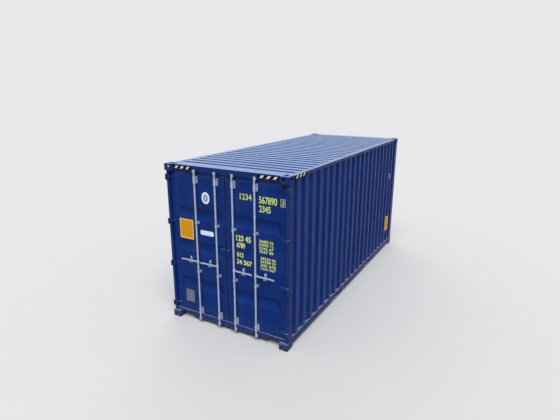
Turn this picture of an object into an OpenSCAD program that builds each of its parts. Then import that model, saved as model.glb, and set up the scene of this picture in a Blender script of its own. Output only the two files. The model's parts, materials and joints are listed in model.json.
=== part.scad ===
// Twenty-foot high-cube freight container with its cargo doors shut.
// Length runs along X with the cargo doors at -X, width along Y, height along Z.
// The origin is the middle of the footprint, on the ground under the corner castings.

/* [Box] */
// Length over the corner castings
box_len = 6058; // [5800:1:6400]
// Width over the corner castings
box_w = 2438; // [2400:1:2500]
// Height over the corner castings
box_h = 2896; // [2850:1:2950]
// Height of the underside of the side rails and sills
base_z = 60; // [50:1:62]
// Thickness of the wall and roof sheets
sheet_t = 2; // [1.6:0.1:3]

/* [Corner castings] */
// Length of a casting
cast_len = 178; // [170:1:190]
// Width of a casting
cast_wid = 162; // [155:1:170]
// Height of a casting
cast_h = 118; // [112:1:125]
// Thickness of the outer walls of a casting
cast_wall = 28; // [24:1:30]
// Thickness of the inner walls of a casting
cast_back = 12; // [8:1:14]
// Radius of a casting's upright edges
cast_edge_r = 14; // [8:1:14]
// Distance of a lifting slot's middle from the end face
slot_from_end = 102.5; // [98:0.5:104]
// Distance of a lifting slot's middle from the side face
slot_from_side = 89.5; // [86:0.5:92]
// Length of a lifting slot
slot_len = 124; // [110:1:126]
// Width of a lifting slot
slot_wid = 63.5; // [60:0.5:65]
// Length of the hole in a casting's side
side_hole_len = 79.5; // [70:0.5:84]
// Length of the hole in a casting's end
end_hole_len = 63.5; // [60:0.5:66]
// Height of the holes in the side and the end
face_hole_h = 51; // [45:0.5:54]
// Height of the lower edge of those holes
face_hole_low = 28.5; // [28:0.5:32]

/* [Posts and rails] */
// Inset of posts from the castings' side faces
post_inset = 6; // [4:1:7]
// Setback of a door post's front from the castings' end faces
post_front = 44; // [43:1:46]
// Width of a door post
post_w = 53; // [50:1:54]
// Plate thickness of the posts
post_t = 8; // [6:1:10]
// Reach of the door stop past the post
stop_reach = 36; // [24:1:40]
// Gap between a shut door and the stop
stop_gap = 7; // [5:1:10]
// Width of the lips of a front post
front_lip = 44; // [38:1:50]
// Inset of the side rails from the castings' side faces
rail_inset = 8; // [7:1:9]
// Height of the bottom side rails' top
rail_top = 178; // [176:1:190]
// Flange width of the bottom side rails
rail_flange = 50; // [46:1:60]
// Plate thickness of the rails
rail_t = 6; // [4.5:0.5:8]
// Size of the square top rails
top_rail = 60; // [60:1:70]
// Drop of the top rails below the castings' tops
top_drop = 10; // [8:1:12]

/* [Header and sill] */
// Setback of the header's and the sill's faces from the castings' end faces
sill_front = 65; // [65:1:68]
// Setback of the header's lower face, over the doors
header_low_front = 87; // [84:1:92]
// Drop of the step in the header below the top
header_step_drop = 101; // [96:1:110]
// Gap between the doors and the header
header_gap = 12; // [12:1:16]
// Gap between the doors and the sill
sill_gap = 7; // [6:1:10]
// Plate thickness of the header and the sill
beam_t = 5; // [4:0.5:6]
// Reach of the header and the sill past the door stops' fronts
beam_reach = 8; // [8:1:12]
// Length of the notches under the sill, beside the castings
notch_len = 250; // [200:1:300]
// Height of the notches' tops
notch_z = 110; // [100:1:120]

/* [Walls and roof] */
// Inset of the side walls' outer ribs
wall_inset = 16; // [14:1:18]
// Depth of the side walls' ribs
wall_rib = 36; // [30:1:38]
// Distance between the side walls' ribs
wall_pitch = 282; // [275:1:288]
// Flat width of a wall's rib
wall_flat = 72; // [60:1:80]
// Length of a rib's slope
wall_slope = 68; // [60:1:70]
// Inset of the front wall's outer ribs
front_inset = 12; // [10:1:14]
// Depth of the front wall's ribs
front_rib = 42; // [36:1:44]
// Distance between the front wall's ribs
front_pitch = 256; // [240:1:260]
// Least length of sheet left flat at each end of a ribbed wall
wall_margin = 20; // [10:1:30]
// Depth of the roof's grooves
roof_rib = 20; // [14:1:22]
// Rough distance between the roof's grooves
roof_pitch = 212; // [190:1:230]
// Flat width at the bottom of a roof groove
roof_flat = 60; // [50:1:70]
// Length of a roof groove's slope
roof_slope = 22; // [14:1:26]
// Length over which a roof groove runs out at its ends
roof_run_out = 50; // [30:1:80]
// Gap between the grooves' ends and the top side rails
roof_groove_gap = 12; // [8:1:20]
// Length of the flat plate at each end of the roof
roof_plate_len = 250; // [230:1:260]
// Thickness of those plates
roof_plate_t = 4; // [3:0.5:5]
// Gap between those plates and the castings
roof_plate_gap = 1; // [0.5:0.5:3]

/* [Floor and underframe] */
// Height of the floor's top
floor_top = 175; // [170:1:177]
// Thickness of the plywood floor
floor_t = 28; // [21:1:28]
// Length of a floor sheet
floor_sheet = 1160; // [1000:10:1250]
// Width and depth of the joints between floor sheets
floor_joint = 3; // [2:0.5:5]
// Gap between the floor and the rails' flanges
floor_gap = 3; // [2:1:8]
// Distance of the forklift pockets from the middle
pocket_x = 1025; // [950:1:1050]
// Clear width of a forklift pocket
pocket_w = 360; // [350:1:370]
// Plate thickness of the forklift pockets
pocket_t = 4; // [4:0.5:6]
// Distance between the cross members
member_pitch = 298; // [280:1:310]
// Flange width of a cross member
member_w = 45; // [40:1:50]
// Plate thickness of a cross member
member_t = 4; // [3:0.5:5]

/* [Hinges] */
// Inset of the hinge pins from the castings' end and side faces
pin_inset = 15; // [15:1:16]
// Radius of a hinge pin
pin_r = 8; // [6:0.5:8]
// Clearance round a hinge pin
pin_clear = 0.3; // [0.2:0.1:0.5]
// Radius of a hinge knuckle
knuckle_r = 13; // [12:0.5:13]
// Height of a hinge knuckle
knuckle_h = 54; // [50:1:60]
// Height of a hinge lug
lug_h = 22; // [18:1:26]
// Gap between a knuckle and its lugs
lug_gap = 1; // [0.5:0.5:2]
// Thickness of a hinge blade
blade_t = 10; // [8:1:10]
// Gap between a hinge blade and its post
blade_gap = 5; // [5:0.5:6]
// Length of blade past the post before it slopes
blade_turn = 6; // [5:1:8]
// Distance from the door's edge to where the slope meets its face
blade_land = 14; // [10:1:20]
// Distance from the side face to the end of a blade
blade_arm = 170; // [150:1:190]
// Hinges on each door
hinge_count = 4; // [3:1:4]
// Height of the lowest hinge
hinge_low = 262; // [255:1:290]
// Drop of the highest hinge below the top
hinge_high = 239; // [230:1:250]

/* [Doors] */
// Setback of the doors' outer face from the castings' end faces
leaf_front = 78; // [76:1:80]
// Thickness of a door
leaf_t = 50; // [50:1:54]
// Height of the doors' lower edge
leaf_low = 172; // [171:1:180]
// Drop of the doors' upper edge below the top
leaf_drop = 168; // [165:1:175]
// Gap between a door and its post
post_gap = 12; // [12:1:16]
// Half of the gap between the doors
centre_gap = 12; // [12:1:14]
// Width of a door's hinge-side stile
stile_w = 100; // [90:1:110]
// Width of a door's middle stile
mid_stile_w = 66; // [50:1:70]
// Height of a door's rails
rail_h = 100; // [90:1:110]
// Plate thickness of a door's rails
door_rail_t = 5; // [4:0.5:6]
// Thickness of a door's panel
panel_t = 4; // [3:0.5:5]
// Depth of the pressed grooves in the doors
groove_depth = 36; // [30:1:38]
// Height of a groove at its mouth
groove_mouth = 226; // [200:1:240]
// Height of a groove's flat bed
groove_bed = 86; // [70:1:100]
// Slope at the ends of a groove
groove_end = 56; // [40:1:70]
// Height of the upper groove's middle
groove_top_z = 2055; // [2000:1:2100]
// Height of the left door's extra groove
groove_mid_z = 1453; // [1400:1:1500]
// Height of the lower groove's middle
groove_low_z = 732; // [700:1:780]
// Thickness of the rubber seal
seal_t = 7; // [6:0.5:7]
// Width of the rubber seal
seal_w = 20; // [16:1:26]
// Setback of the rubber seal from the doors' outer face
seal_setback = 6; // [4:1:10]
// Thickness of the lugs at the middle of the doors
mid_lug_t = 22; // [16:1:24]
// Height of those lugs
mid_lug_h = 82; // [70:1:90]
// Height of the lugs' lower edge
mid_lug_z = 1437; // [1400:1:1480]
// Width of the right door's lug
mid_lug_right = 68; // [55:1:75]
// Width of the left door's lug
mid_lug_left = 113; // [90:1:120]

/* [Locking bars] */
// Radius of a locking bar
bar_r = 16; // [15:0.5:17]
// Setback of the bars' axes from the castings' end faces
bar_depth = 40; // [39:1:41]
// Distance of the inner bars from the centre line
bar_inner = 172; // [165:1:180]
// Distance of the outer bars from the centre line
bar_outer = 596; // [580:1:610]
// Height of the bars' lower end
bar_low = 64; // [62:1:72]
// Drop of the bars' upper end below the top
bar_drop = 66; // [62:1:70]
// Height of a cam
cam_h = 52; // [44:1:60]
// Radius of a cam's collar
cam_r = 20; // [19:0.5:20]
// Reach of a cam's nose from the bar's axis
cam_reach = 38; // [34:1:39]
// Width of a cam's nose at the collar
cam_root = 26; // [22:1:30]
// Width of a cam's nose at its tip
cam_tip = 15; // [10:1:18]
// Distance of a keeper's lugs from the bar's axis
keeper_gap = 46; // [46:1:50]
// Length of a keeper's lugs
keeper_len = 50; // [44:1:54]
// Thickness of a keeper's lugs
keeper_t = 8; // [6:1:10]
// Chamfer at the front of a keeper's lugs
keeper_chamfer = 10; // [6:1:12]
// Margin between a cam's ends and its keeper's
keeper_margin = 3; // [2:1:5]
// Clearance of the bars in their brackets
bar_clear = 1; // [0.5:0.5:1.5]
// Wall of a bracket round the bar
bracket_t = 6; // [5:1:6]
// Distance of a bracket's edges from the bar's axis
bracket_half_w = 42; // [38:1:46]
// Height of the brackets at the bars' ends
bracket_h = 122; // [110:1:130]
// Distance of those brackets from the doors' lower and upper edges
bracket_edge = 6; // [4:1:10]
// Height of the guides along the bars
guide_h = 46; // [40:1:52]
// Height of the lower guides' middle
guide_low_z = 1010; // [990:1:1030]
// Height of the upper guides' middle
guide_high_z = 1912; // [1890:1:1930]

/* [Handles and catches] */
// Height of the door handles
handle_z = 1190; // [1150:1:1250]
// Radius of the hub that joins the tongue to its bar
hub_r = 23; // [22:0.5:24]
// Height of the hub
hub_h = 44; // [36:1:50]
// Distance of the tongue from the bar's axis
tongue_gap = 5; // [4:1:6]
// Thickness of the tongue
tongue_t = 10; // [8:1:12]
// Distance of a handle's pivot from the bar's axis
pivot_reach = 44; // [42:1:50]
// Radius of the pivot's pin
pivot_r = 7; // [6:0.5:8]
// Radius of the eye round the pivot
eye_r = 15; // [14:0.5:18]
// Reach of the pivot's pin past the handle
pivot_proud = 3; // [2:0.5:5]
// Gap between the handle and the tongue
handle_gap = 1; // [0.5:0.5:1.5]
// Length of a handle from the bar's axis
handle_len = 365; // [340:1:380]
// Height of a handle's flat bar at the bend
handle_h = 28; // [24:1:30]
// Height of the grip at its end
grip_h = 24; // [20:1:28]
// Thickness of a handle's flat bar
handle_t = 11; // [9:1:12]
// Distance that the grip stands out past the flat bar
grip_out = 12; // [8:1:14]
// Length of a handle's grip past the bend
grip_len = 70; // [60:1:90]
// Length of the bend between flat bar and grip
grip_bend = 40; // [30:1:46]
// Distance of a handle's catch from the bar's axis
catch_reach = 175; // [165:1:185]
// Width of a catch's plate
catch_w = 36; // [30:1:44]
// Thickness of a catch's plate
catch_t = 6; // [5:1:8]
// Reach of the catch's plate below the handle
catch_below = 66; // [60:1:80]
// Reach of the catch's plate above the handle
catch_above = 66; // [60:1:80]
// Difference in width between plate, cradle and hasp
catch_step = 8; // [4:1:10]
// Thickness of the cradle's tip
cradle_t = 12; // [8:1:14]
// Gap between the cradle and the handle
cradle_gap = 8; // [6:1:10]
// Reach of the cradle past the bar's axis
cradle_reach = 18; // [16:1:22]
// Depth of the hasp above the handle
hasp_depth = 22; // [16:1:23]
// Distance of the hasp's lower edge from the handle's middle
hasp_low = 24; // [22:1:30]
// Height of the hasp
hasp_h = 36; // [28:1:40]

/* [Hidden] */
$fn = 48;
over = 1;
eps = 0.01;
half_len = box_len / 2;
half_w = box_w / 2;

// Distances named u run inward from the door end, and those named v inward from the side
post_in_v = post_inset + post_w;
stop_u = leaf_front + leaf_t + stop_gap;
beam_back = stop_u + beam_reach;
leaf_edge_v = post_in_v + post_gap;
leaf_mid_v = half_w - centre_gap;
leaf_top = box_h - leaf_drop;
panel_low = leaf_low + rail_h;
panel_high = leaf_top - rail_h;
panel_v0 = leaf_edge_v + stile_w;
panel_v1 = leaf_mid_v - mid_stile_w;

rail_in_v = rail_inset + rail_t;
floor_low = floor_top - floor_t;
pocket_low = base_z + pocket_t;
pocket_high = floor_low - pocket_t;
roof_z = box_h - top_drop;
top_rail_low = roof_z - top_rail;
sill_top = leaf_low - sill_gap;
header_step_z = box_h - header_step_drop;
header_low_z = leaf_top + header_gap;

wall_end = half_len - cast_len;
wall_ribs = floor(2 * (wall_end - wall_margin) / wall_pitch);
front_end = half_w - cast_wid;
front_ribs = floor(2 * (front_end - wall_margin) / front_pitch);

hinge_span = box_h - hinge_high - hinge_low;
hinge_zs = [for (i = [0 : hinge_count - 1]) hinge_low + i * hinge_span / (hinge_count - 1)];
blade_in = post_front - blade_gap;

bar_vs = [half_w - bar_outer, half_w - bar_inner];
bar_top = box_h - bar_drop;
handle_back = bar_depth + tongue_gap - handle_gap;

// Places its children by distances inward from the door end and the right side
module door_corner() {
    translate([-half_len, -half_w, 0]) children();
}

// The same at the end without doors
module front_corner() {
    mirror([1, 0, 0]) door_corner() children();
}

module left_side() {
    mirror([0, 1, 0]) children();
}

module both_sides() {
    children();
    left_side() children();
}

// Extrudes an outline drawn in u and z along v, from v0 to v1
module along_v(v0, v1) {
    translate([0, v1, 0]) rotate([90, 0, 0]) linear_extrude(v1 - v0) children();
}

// Extrudes an outline drawn in v and z along u, from u0 to u1
module along_u(u0, u1) {
    translate([u0, 0, 0]) rotate([90, 0, 90]) linear_extrude(u1 - u0) children();
}

// A block between two corners
module block(a, b) {
    translate(a) cube(b - a);
}

// A slot of full length l and width w, round at its ends
module slot_outline(l, w) {
    square([l - w, w], center = true);
    for (s = [-1, 1]) translate([s * (l - w) / 2, 0]) circle(d = w);
}

module rounded_outline(l, w, r) {
    translate([r, 0]) square([l - 2 * r, w]);
    translate([0, r]) square([l, w - 2 * r]);
    for (x = [r, l - r], y = [r, w - r]) translate([x, y]) circle(r);
}

// A channel of plate thickness t with its web at a0 and its flanges reaching to a1
module channel_outline(a0, a1, z0, z1, t) {
    polygon([
        [a0, z0], [a1, z0], [a1, z0 + t], [a0 + t, z0 + t],
        [a0 + t, z1 - t], [a1, z1 - t], [a1, z1], [a0, z1]
    ]);
}

module square_tube_outline(size, t) {
    difference() {
        square(size);
        translate([t, t]) square(size - 2 * t);
    }
}

// Corner casting, drawn as the bottom one with its outer corner at the origin
module casting() {
    hole_z = face_hole_low + face_hole_h / 2;
    through = cast_wall + 2 * over;
    difference() {
        linear_extrude(cast_h) rounded_outline(cast_len, cast_wid, cast_edge_r);
        block(
            [cast_wall, cast_wall, cast_wall],
            [cast_len - cast_back, cast_wid - cast_back, cast_h - cast_back]
        );
        translate([slot_from_end, slot_from_side, -over])
            linear_extrude(through) slot_outline(slot_len, slot_wid);
        translate([slot_from_end, -over, hole_z])
            rotate([-90, 0, 0]) linear_extrude(through) slot_outline(side_hole_len, face_hole_h);
        translate([-over, slot_from_side, hole_z])
            rotate([90, 0, 90]) linear_extrude(through) slot_outline(end_hole_len, face_hole_h);
    }
}

module four_castings() {
    both_sides() {
        door_corner() casting();
        front_corner() casting();
    }
}

module bottom_castings() {
    color("midnightblue") four_castings();
}

module top_castings() {
    color("midnightblue") translate([0, 0, box_h]) mirror([0, 0, 1]) four_castings();
}

// Door post: a box section with the leg that stops the door's inner face
module door_post() {
    depth = cast_len - post_front;
    door_corner() translate([0, 0, cast_h]) linear_extrude(box_h - 2 * cast_h) {
        translate([post_front, post_inset]) difference() {
            square([depth, post_w]);
            translate([post_t, post_t]) square([depth - 2 * post_t, post_w - 2 * post_t]);
        }
        translate([stop_u, post_in_v - post_t]) square([post_t, post_t + stop_reach]);
    }
}

module right_door_post() {
    color("darkslateblue") door_post();
}

module left_door_post() {
    color("darkslateblue") left_side() door_post();
}

// Front post: an angle with two lips that the wall sheets meet
module front_post() {
    p = post_inset;
    q = post_inset + front_lip;
    t = post_t;
    front_corner() translate([0, 0, cast_h]) linear_extrude(box_h - 2 * cast_h)
        polygon([
            [p, p], [cast_len, p], [cast_len, q], [cast_len - t, q],
            [cast_len - t, p + t], [p + t, p + t], [p + t, cast_wid - t],
            [q, cast_wid - t], [q, cast_wid], [p, cast_wid]
        ]);
}

module front_posts() {
    color("darkslateblue") both_sides() front_post();
}

// Bottom side rail: a channel that opens inward, cut for the forklift pockets
module bottom_side_rail() {
    box_wid = pocket_w + 2 * pocket_t;
    difference() {
        door_corner() along_u(cast_len, box_len - cast_len)
            channel_outline(rail_inset, rail_inset + rail_flange, base_z, rail_top, rail_t);
        for (s = [-1, 1]) translate([s * pocket_x, -half_w, 0]) {
            translate([-pocket_w / 2, 0, pocket_low])
                cube([pocket_w, rail_in_v + over, pocket_high - pocket_low]);
            translate([-box_wid / 2, rail_in_v, base_z - over])
                cube([box_wid, rail_flange, floor_low - base_z + over]);
        }
    }
}

module bottom_side_rails() {
    color("midnightblue") both_sides() bottom_side_rail();
}

module top_side_rails() {
    color("midnightblue") both_sides() door_corner() along_u(cast_len, box_len - cast_len)
        translate([rail_inset, top_rail_low]) square_tube_outline(top_rail, rail_t);
}

// The two places beside a cross beam, each from a door post to just past its casting
function beam_ends() = let (lap = cast_wid + beam_t)
    [[post_in_v, lap], [box_w - lap, box_w - post_in_v]];

// Header over the doors: a hollow beam with a set-back lower face and an end block at each post
module door_header() {
    t = beam_t;
    color("midnightblue") door_corner() {
        along_v(cast_wid, box_w - cast_wid) difference() {
            polygon([
                [sill_front, header_step_z], [header_low_front, header_step_z],
                [header_low_front, header_low_z], [beam_back, header_low_z],
                [beam_back, roof_z], [sill_front, roof_z]
            ]);
            polygon([
                [sill_front + t, header_step_z + t], [header_low_front + t, header_step_z + t],
                [header_low_front + t, header_low_z + t], [beam_back - t, header_low_z + t],
                [beam_back - t, roof_z - t], [sill_front + t, roof_z - t]
            ]);
        }
        for (v = beam_ends())
            block([header_low_front, v[0], header_low_z], [stop_u, v[1], box_h - cast_h]);
    }
}

// Sill under the doors: a channel, notched underneath beside the castings
module door_sill() {
    color("midnightblue") door_corner() {
        difference() {
            along_v(cast_wid, box_w - cast_wid)
                channel_outline(sill_front, beam_back, base_z, sill_top, beam_t);
            for (v = [cast_wid - over, box_w - cast_wid - notch_len])
                block(
                    [sill_front - over, v, base_z - over],
                    [beam_back + over, v + notch_len + over, notch_z]
                );
        }
        for (v = beam_ends()) block([sill_front, v[0], cast_h], [stop_u, v[1], sill_top]);
    }
}

module front_top_rail() {
    color("midnightblue") front_corner() along_v(cast_wid, box_w - cast_wid)
        translate([rail_inset, top_rail_low]) square_tube_outline(top_rail, rail_t);
}

module front_sill() {
    color("midnightblue") front_corner() along_v(cast_wid, box_w - cast_wid)
        channel_outline(rail_inset, rail_inset + rail_flange, base_z, rail_top, rail_t);
}

// Points of one side of a ribbed sheet, from end to end, ribs standing out to y = 0
function rib_line(n, pitch, flat, slope, depth, end) = concat(
    [[-end, depth]],
    [for (i = [0 : n - 1]) let (c = (i - (n - 1) / 2) * pitch)
        for (p = [[-flat / 2 - slope, depth], [-flat / 2, 0], [flat / 2, 0], [flat / 2 + slope, depth]])
            [c + p[0], p[1]]],
    [[end, depth]]
);

module ribbed_wall(n, pitch, depth, end) {
    outer = rib_line(n, pitch, wall_flat, wall_slope, depth, end);
    inner = [for (i = [len(outer) - 1 : -1 : 0]) outer[i] + [0, sheet_t]];
    translate([0, 0, rail_top]) linear_extrude(top_rail_low - rail_top)
        polygon(concat(outer, inner));
}

module side_wall() {
    translate([0, wall_inset - half_w, 0]) ribbed_wall(wall_ribs, wall_pitch, wall_rib, wall_end);
}

module right_side_wall() {
    color("navy") side_wall();
}

module left_side_wall() {
    color("navy") left_side() side_wall();
}

module front_wall() {
    color("navy") translate([half_len - front_inset, 0, 0]) rotate([0, 0, 90])
        ribbed_wall(front_ribs, front_pitch, front_rib, front_end);
}

// Roof sheet: grooves pressed across it, run out before its edges
module roof_sheet() {
    end = half_len - roof_plate_len;
    run = 2 * (end - wall_margin);
    ribs = round(run / roof_pitch);
    xs = rib_line(ribs, run / ribs, roof_flat, roof_slope, 0, end);
    depths = concat([0], [for (i = [1 : ribs]) for (d = [0, 1, 1, 0]) d], [0]);
    edge = half_w - rail_inset - top_rail / 2;
    stop = half_w - rail_inset - top_rail - roof_groove_gap;
    full = stop - roof_run_out;
    rows = [[-edge, 0], [-stop, 0], [-full, 1], [full, 1], [stop, 0], [edge, 0]];
    nx = len(xs);
    ny = len(rows);
    top = [for (r = rows) for (i = [0 : nx - 1])
        [xs[i][0], r[0], roof_z + sheet_t - roof_rib * depths[i] * r[1]]];
    low = [for (p = top) p - [0, 0, sheet_t]];
    m = nx * ny;
    cells = [for (j = [0 : ny - 2]) for (i = [0 : nx - 2]) j * nx + i];
    color("lightsteelblue") polyhedron(points = concat(top, low), faces = concat(
        [for (a = cells) [a, a + nx, a + 1]],
        [for (a = cells) [a + 1, a + nx, a + nx + 1]],
        [for (a = cells) [m + a, m + a + 1, m + a + nx]],
        [for (a = cells) [m + a + 1, m + a + nx + 1, m + a + nx]],
        [for (i = [0 : nx - 2]) [i, i + 1, m + i + 1, m + i]],
        [for (i = [0 : nx - 2]) let (a = (ny - 1) * nx + i) [a + 1, a, m + a, m + a + 1]],
        [for (j = [0 : ny - 2]) let (a = j * nx) [a + nx, a, m + a, m + a + nx]],
        [for (j = [0 : ny - 2]) let (a = j * nx + nx - 1) [a, a + nx, m + a + nx, m + a]]
    ));
}

// Flat plates that close the roof between the castings at both ends
module roof_plate(u0) {
    edge = rail_inset + top_rail / 2;
    u1 = cast_len + roof_plate_gap;
    v1 = cast_wid + roof_plate_gap;
    translate([0, 0, roof_z]) linear_extrude(roof_plate_t) {
        translate([u0, v1]) square([roof_plate_len - u0, box_w - 2 * v1]);
        translate([u1, edge]) square([roof_plate_len - u1, box_w - 2 * edge]);
    }
}

module roof_end_plates() {
    color("lightsteelblue") {
        door_corner() roof_plate(sill_front);
        front_corner() roof_plate(rail_inset);
    }
}

// Floor of plywood sheets in two rows, with its joints open at the top
module floor() {
    u0 = beam_back + floor_gap;
    u1 = box_len - cast_len;
    v0 = rail_inset + rail_flange + floor_gap;
    joint = floor_joint / 2;
    color("peru") door_corner() difference() {
        union() {
            block([u0, v0, floor_low], [u1, box_w - v0, floor_top]);
            block(
                [u1, cast_wid, floor_low],
                [box_len - rail_inset - rail_flange - floor_gap, box_w - cast_wid, floor_top]
            );
        }
        for (u = [u0 + floor_sheet : floor_sheet : u1 - floor_sheet / 2])
            block([u - joint, v0 - over, floor_top - floor_joint],
                [u + joint, box_w - v0 + over, floor_top + over]);
        block([u0 - over, half_w - joint, floor_top - floor_joint],
            [box_len, half_w + joint, floor_top + over]);
    }
}

// Cross members: channels between the side rails, left out where the pockets run
module cross_members() {
    n = floor((half_len - cast_len - member_w) / member_pitch);
    clear = pocket_w / 2 + pocket_t + member_w;
    color("dimgray") for (i = [-n : n]) let (x = i * member_pitch)
        if (abs(abs(x) - pocket_x) > clear)
            translate([x, 0, 0]) along_v(rail_in_v - half_w, half_w - rail_in_v)
                channel_outline(0, member_w, base_z + rail_t, floor_low, member_t);
}

module forklift_pockets() {
    span = box_w - 2 * rail_in_v;
    color("dimgray") for (s = [-1, 1]) translate([s * pocket_x, 0, 0])
        along_v(-span / 2, span / 2) difference() {
            translate([-pocket_w / 2 - pocket_t, base_z])
                square([pocket_w + 2 * pocket_t, floor_low - base_z]);
            translate([-pocket_w / 2, pocket_low]) square([pocket_w, pocket_high - pocket_low]);
        }
}

// Keeper: two chamfered lugs on feet, one on each side of a cam
module keeper(v, z0, z1) {
    u0 = sill_front - keeper_len;
    c = keeper_chamfer;
    t = keeper_t;
    for (s = [-1, 1]) translate([0, v + s * (keeper_gap + t / 2), 0]) {
        along_v(-t / 2, t / 2) polygon([
            [u0, z0 + c], [u0 + c, z0], [sill_front, z0],
            [sill_front, z1], [u0 + c, z1], [u0, z1 - c]
        ]);
        translate([0, s * t / 2, 0]) block([sill_front - t, -t, z0], [sill_front, t, z1]);
    }
}

module cam_keepers() {
    color("midnightblue") both_sides() door_corner() for (v = bar_vs) {
        keeper(v, bar_low + keeper_margin, bar_low + cam_h - keeper_margin);
        keeper(v, header_step_z + keeper_margin, bar_top - keeper_margin);
    }
}

// Hinge lugs on the door posts, with the pins they hold
module hinge_lug(z) {
    translate([0, 0, z]) linear_extrude(lug_h) {
        translate([pin_inset, pin_inset]) circle(knuckle_r);
        translate([pin_inset, post_inset])
            square([post_front - pin_inset, pin_inset + knuckle_r - post_inset]);
    }
}

module hinge_lugs() {
    reach = knuckle_h / 2 + lug_gap;
    color("midnightblue") both_sides() door_corner() for (z = hinge_zs) {
        hinge_lug(z + reach);
        hinge_lug(z - reach - lug_h);
        translate([pin_inset, pin_inset, z - reach - lug_h])
            cylinder(r = pin_r, h = 2 * (reach + lug_h));
    }
}

// Hinge blade: knuckle, arm past the post, slope and pad, of one thickness all along
module hinge_blade(z) {
    out = blade_in - blade_t;
    face = leaf_front - blade_t;
    turn_v = post_in_v + blade_turn;
    land_v = leaf_edge_v + blade_land;
    miter = blade_t * tan(atan2(leaf_front - blade_in, land_v - turn_v) / 2);
    translate([0, 0, z - knuckle_h / 2]) linear_extrude(knuckle_h) difference() {
        union() {
            translate([pin_inset, pin_inset]) circle(knuckle_r);
            translate([pin_inset, pin_inset - knuckle_r / 2])
                square([blade_in - pin_inset, 3 * knuckle_r / 2]);
            polygon([
                [out, pin_inset], [out, turn_v + miter], [face, land_v + miter],
                [face, blade_arm], [leaf_front, blade_arm],
                [leaf_front, land_v], [blade_in, turn_v], [blade_in, pin_inset]
            ]);
        }
        translate([pin_inset, pin_inset]) circle(pin_r + pin_clear);
    }
}

module door_hinges() {
    door_corner() for (z = hinge_zs) hinge_blade(z);
}

module door_stiles() {
    door_corner() for (v = [[leaf_edge_v, panel_v0], [panel_v1, leaf_mid_v]])
        block([leaf_front, v[0], leaf_low], [leaf_front + leaf_t, v[1], leaf_top]);
}

// Door rails: channels that open inward, between the stiles
module door_rails() {
    door_corner() along_v(panel_v0, panel_v1) for (z = [[leaf_low, panel_low], [panel_high, leaf_top]])
        channel_outline(leaf_front, leaf_front + leaf_t, z[0], z[1], door_rail_t);
}

// A groove's tapered form, from its mouth at depth u0 to its bed at depth u1
module groove_form(z, u0, u1, grow) {
    mouth = groove_mouth / 2 + grow;
    bed = groove_bed / 2 + grow;
    hull() {
        block([u0, panel_v0 + panel_t - grow, z - mouth],
            [u0 + eps, panel_v1 - panel_t + grow, z + mouth]);
        block([u1 - eps, panel_v0 + groove_end - grow, z - bed],
            [u1, panel_v1 - groove_end + grow, z + bed]);
    }
}

// Door panel: a flat sheet with tapered grooves pressed into it
module door_panel(grooves) {
    bed_u = leaf_front + groove_depth;
    door_corner() difference() {
        union() {
            block([leaf_front, panel_v0, panel_low], [leaf_front + panel_t, panel_v1, panel_high]);
            for (z = grooves) groove_form(z, leaf_front, bed_u + panel_t, panel_t);
        }
        for (z = grooves) groove_form(z, leaf_front - eps, bed_u, 0);
    }
}

// Rubber seal round a door's hinge side and top, and along the middle where it laps
module door_seal(middle) {
    u0 = leaf_front + seal_setback;
    u1 = u0 + seal_w;
    door_corner() {
        block([u0, leaf_edge_v - seal_t, leaf_low], [u1, leaf_edge_v, leaf_top]);
        block([u0, leaf_edge_v - seal_t, leaf_top], [u1, leaf_mid_v, leaf_top + seal_t]);
        if (middle) block([u0, leaf_mid_v, leaf_low], [u1, leaf_mid_v + seal_t, leaf_top]);
    }
}

// Bracket: a strap round the bar on a flange that lies on the door's face
module bracket(v, z0, h) {
    r = bar_r + bar_clear + bracket_t;
    translate([0, v, z0]) linear_extrude(h) difference() {
        union() {
            translate([bar_depth, 0]) circle(r);
            translate([bar_depth, -r]) square([leaf_front - bar_depth, 2 * r]);
            translate([leaf_front - bracket_t, -bracket_half_w])
                square([bracket_t, 2 * bracket_half_w]);
        }
        translate([bar_depth, 0]) circle(bar_r + bar_clear);
    }
}

module door_brackets() {
    door_corner() for (v = bar_vs) {
        bracket(v, leaf_low + bracket_edge, bracket_h);
        bracket(v, leaf_top - bracket_edge - bracket_h, bracket_h);
        for (z = [guide_low_z, guide_high_z]) bracket(v, z - guide_h / 2, guide_h);
    }
}

// Catch: a plate on the door, the tapered cradle under the handle and the hasp above it
module handle_catch(v) {
    plate_u = leaf_front - catch_t;
    half = catch_w / 2;
    cradle_v = half - catch_step / 2;
    hasp_v = half - catch_step;
    cradle_z = handle_z - handle_h / 2 - cradle_gap;
    tip_u = bar_depth - cradle_reach;
    hasp_u = plate_u - hasp_depth;
    hasp_z = handle_z + hasp_low;
    translate([0, v - catch_reach, 0]) {
        block([plate_u, -half, handle_z - catch_below], [leaf_front, half, handle_z + catch_above]);
        along_v(-cradle_v, cradle_v) polygon([
            [plate_u, cradle_z], [tip_u, cradle_z],
            [tip_u, cradle_z - cradle_t], [plate_u, cradle_z - 2 * cradle_t]
        ]);
        along_v(-hasp_v, hasp_v) polygon([
            [plate_u, hasp_z], [hasp_u, hasp_z], [hasp_u, hasp_z + hasp_h / 2],
            [plate_u, hasp_z + hasp_h]
        ]);
    }
}

module door_catches() {
    door_corner() for (v = bar_vs) handle_catch(v);
}

// Lug at the middle of the doors, which keeps them from sliding past each other
module mid_lug(width) {
    door_corner() block(
        [leaf_front - mid_lug_t, leaf_mid_v - width, mid_lug_z],
        [leaf_front, leaf_mid_v, mid_lug_z + mid_lug_h]
    );
}

module right_door_stiles() {
    color("navy") door_stiles();
}

module right_door_rails() {
    color("navy") door_rails();
}

module right_door_panel() {
    color("navy") door_panel([groove_low_z, groove_top_z]);
}

module right_door_seal() {
    color("black") door_seal(false);
}

module right_door_hinges() {
    color("midnightblue") door_hinges();
}

module right_door_brackets() {
    color("lightgray") door_brackets();
}

module right_door_catches() {
    color("lightgray") door_catches();
}

module right_door_lug() {
    color("navy") mid_lug(mid_lug_right);
}

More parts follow.
